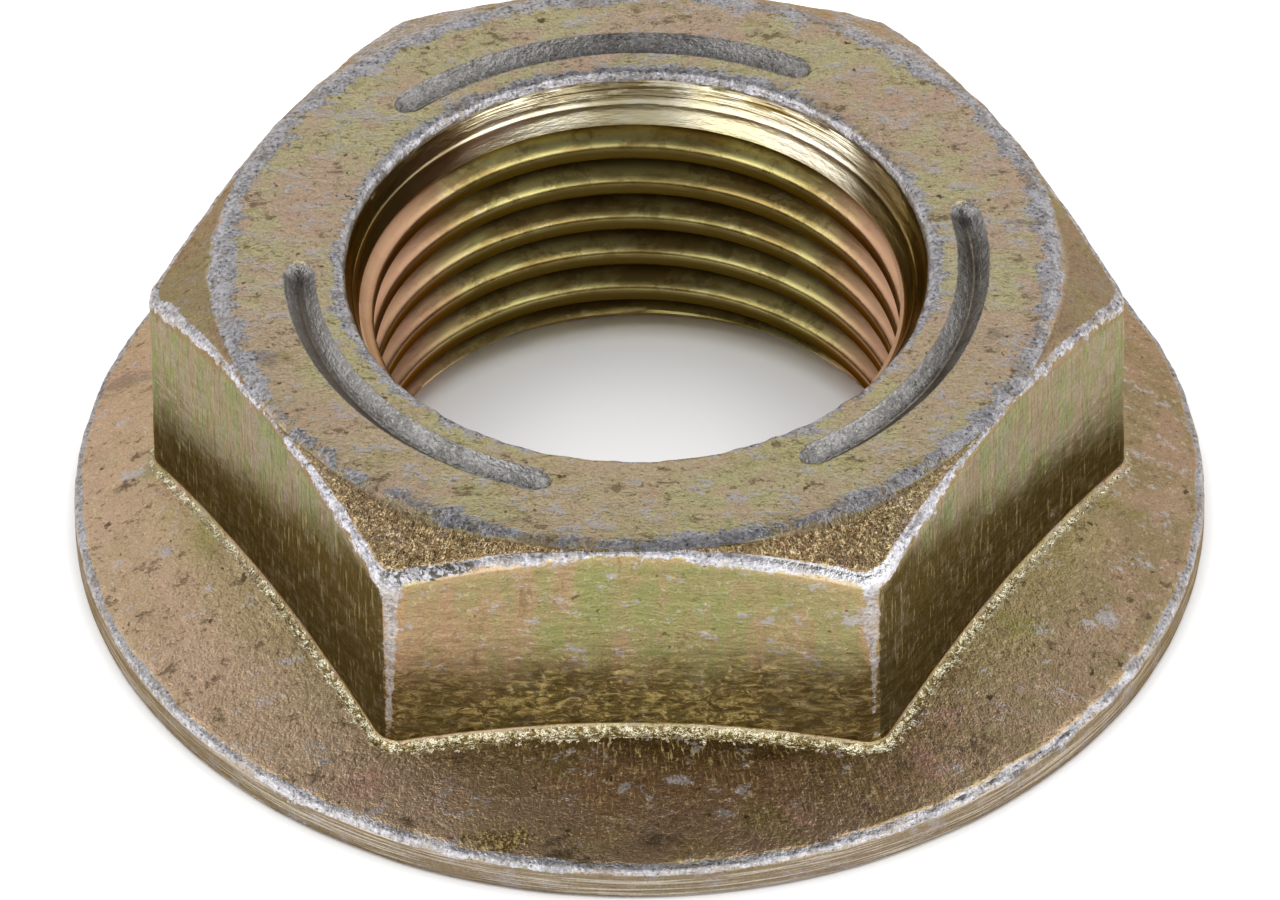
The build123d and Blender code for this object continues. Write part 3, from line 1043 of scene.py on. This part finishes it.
def roughness(g):
    rough = g.blend(g.step(g.cloud, 0.35, 0.65), 0.34, 0.48)
    rough = g.blend(g.times(g.mark["flat"], g.lower_flat_painted_shade), rough, 0.3)
    rough = g.blend(g.math("MAXIMUM", g.painted_root_glints, g.mark["crown"]), rough, 0.24)
    rough = g.blend(g.worn, rough, g.blend(g.polish_and_painted_highlight, 0.42, 0.22))
    rough = g.blend(g.pressed, rough, 0.36)
    thread, recess = g.blend(g.smear, 0.26, 0.42), g.blend(g.smear, 0.1, 0.34)
    inside = g.blend(g.step(g.z, LIP_HEIGHT - 0.1, LIP_HEIGHT + 0.1), thread, recess)
    return g.blend(g.mark["bore"], rough, inside)


def relief(g):
    """The skin's fine relief, as bump, its heights in hundredths of a millimetre."""
    flat, crown, cylinder = g.mark["flat"], g.mark["crown"], g.mark["bore"]
    skin = g.math("SUBTRACT", 1.0, cylinder)
    height = g.times(g.grain, skin)
    height = g.plus(height, 4.0, g.times(g.fleck, skin))
    height = g.plus(height, 8.0, g.times(g.scuff, skin))
    height = g.plus(height, 11.0, g.plus(g.times(g.glint, g.painted_root_glints), g.stroke, crown))
    lower = g.times(flat, g.math("MULTIPLY_ADD", g.step(g.z, 8.2, 4.4), 0.8, 0.2))
    height = g.plus(height, 34.0, g.times(g.wrinkle, lower))
    height = g.plus(height, 7.0, g.times(g.turning, g.mark["rim"]))
    recess = g.times(g.math("SUBTRACT", cylinder, g.recess_painted_shade), g.step(g.z, LIP_HEIGHT + 0.8, LIP_HEIGHT + 1.0))
    height = g.plus(height, 2.0, g.times(g.turning, recess))
    height = g.plus(height, 3.0, g.times(g.smear, cylinder))
    height = g.plus(height, 6.0, g.times(g.scratch, g.foot))
    height = g.plus(height, 7.0, g.times(g.scrape, flat, g.mark["dark"]))
    bump = g.node("ShaderNodeBump")
    bump.inputs["Distance"].default_value = 0.01 * MM
    bump.inputs["Strength"].default_value = 1.0
    g.feed(bump.inputs["Height"], height)
    return bump.outputs[0]


def make_zinc():
    material = bpy.data.materials.new("yellow_zinc")
    material.use_nodes = True
    g = Coat(material.node_tree)
    shader = g.tree.nodes["Principled BSDF"]
    g.feed(shader.inputs["Base Color"], colour(g))
    g.feed(shader.inputs["Metallic"], 1.0)
    g.feed(shader.inputs["Specular Tint"], "specular")
    g.feed(shader.inputs["Roughness"], roughness(g))
    g.feed(shader.inputs["Normal"], relief(g))
    return material


# Camera: the view that the photograph was taken from, through a long lens
ELEVATION = 41.81
AZIMUTH = 1.33
ROLL = -0.75
DISTANCE = 0.762
LENS = 636.7
SENSOR_WIDTH = 36.0
AIM = Vector((0.00004, 0.0, 0.00291))


def make_camera():
    data = bpy.data.cameras.new("camera")
    data.lens = LENS
    data.sensor_width = SENSOR_WIDTH
    camera = bpy.data.objects.new("camera", data)
    bpy.context.scene.collection.objects.link(camera)
    e, a = math.radians(ELEVATION), math.radians(AZIMUTH)
    back = Vector((math.sin(a) * math.cos(e), -math.cos(a) * math.cos(e), math.sin(e)))
    camera.location = AIM + back * DISTANCE
    camera.rotation_mode = "QUATERNION"
    roll = Quaternion((0.0, 0.0, 1.0), math.radians(ROLL))
    camera.rotation_quaternion = back.to_track_quat("Z", "Y") @ roll
    bpy.context.scene.camera = camera


FLOOR_SIZE = 1.6
FLOOR_GAP = 0.02 * MM
FLOOR_GREY = 0.86
FLOOR_ROUGHNESS = 0.9


def make_stage():
    bpy.ops.mesh.primitive_plane_add(size=FLOOR_SIZE, location=(0.0, 0.0, -FLOOR_GAP))
    floor = bpy.context.object
    floor.name = "floor"
    material = bpy.data.materials.new("paper")
    material.use_nodes = True
    shader = material.node_tree.nodes["Principled BSDF"]
    shader.inputs["Base Color"].default_value = (FLOOR_GREY, FLOOR_GREY, FLOOR_GREY, 1.0)
    shader.inputs["Roughness"].default_value = FLOOR_ROUGHNESS
    floor.data.materials.append(material)


# The lamp overhead lights the paper and the coat without a reflection of its own
LAMP_AZIMUTH = 90.0
LAMP_ELEVATION = 89.0
LAMP_DISTANCE = 0.6
LAMP_SIZE = 0.8
LAMP_POWER = 5.5


def make_lamp():
    data = bpy.data.lights.new("over", "AREA")
    data.shape = "RECTANGLE"
    data.size = data.size_y = LAMP_SIZE
    data.energy = LAMP_POWER
    lamp = bpy.data.objects.new("over", data)
    bpy.context.scene.collection.objects.link(lamp)
    a, e = math.radians(LAMP_AZIMUTH), math.radians(LAMP_ELEVATION)
    out = Vector((math.cos(a) * math.cos(e), math.sin(a) * math.cos(e), math.sin(e)))
    lamp.location = out * LAMP_DISTANCE
    lamp.rotation_mode = "QUATERNION"
    lamp.rotation_quaternion = out.to_track_quat("Z", "Y")
    lamp.visible_glossy = False


def make_room():
    """A pale room round the part: bright in front, less so in its middle, and dark overhead."""
    world = bpy.data.worlds.new("studio")
    world.use_nodes = True
    g = Graph(world.node_tree)
    x, y, z = g.split(g.node("ShaderNodeTexCoord").outputs["Generated"])
    wall = g.blend(g.step(z, 0.15, 0.55), 0.45, 1.0)
    wall = g.blend(g.step(y, 0.3, -0.2), wall, 1.7)
    middle = g.times(g.step(y, 0.0, -0.3), g.step(g.math("ABSOLUTE", x), 0.45, 0.2))
    wall = g.blend(middle, wall, 0.5)
    light = g.blend(g.step(z, 0.55, 0.9), wall, 0.06)
    background = g.tree.nodes["Background"]
    background.inputs["Color"].default_value = (1.0, 1.0, 1.0, 1.0)
    g.feed(background.inputs["Strength"], light)
    bpy.context.scene.world = world


nut = make_nut()
nut.data.materials.append(make_zinc())
make_stage()
make_room()
make_lamp()
make_camera()
bpy.context.scene.view_settings.view_transform = "Standard"
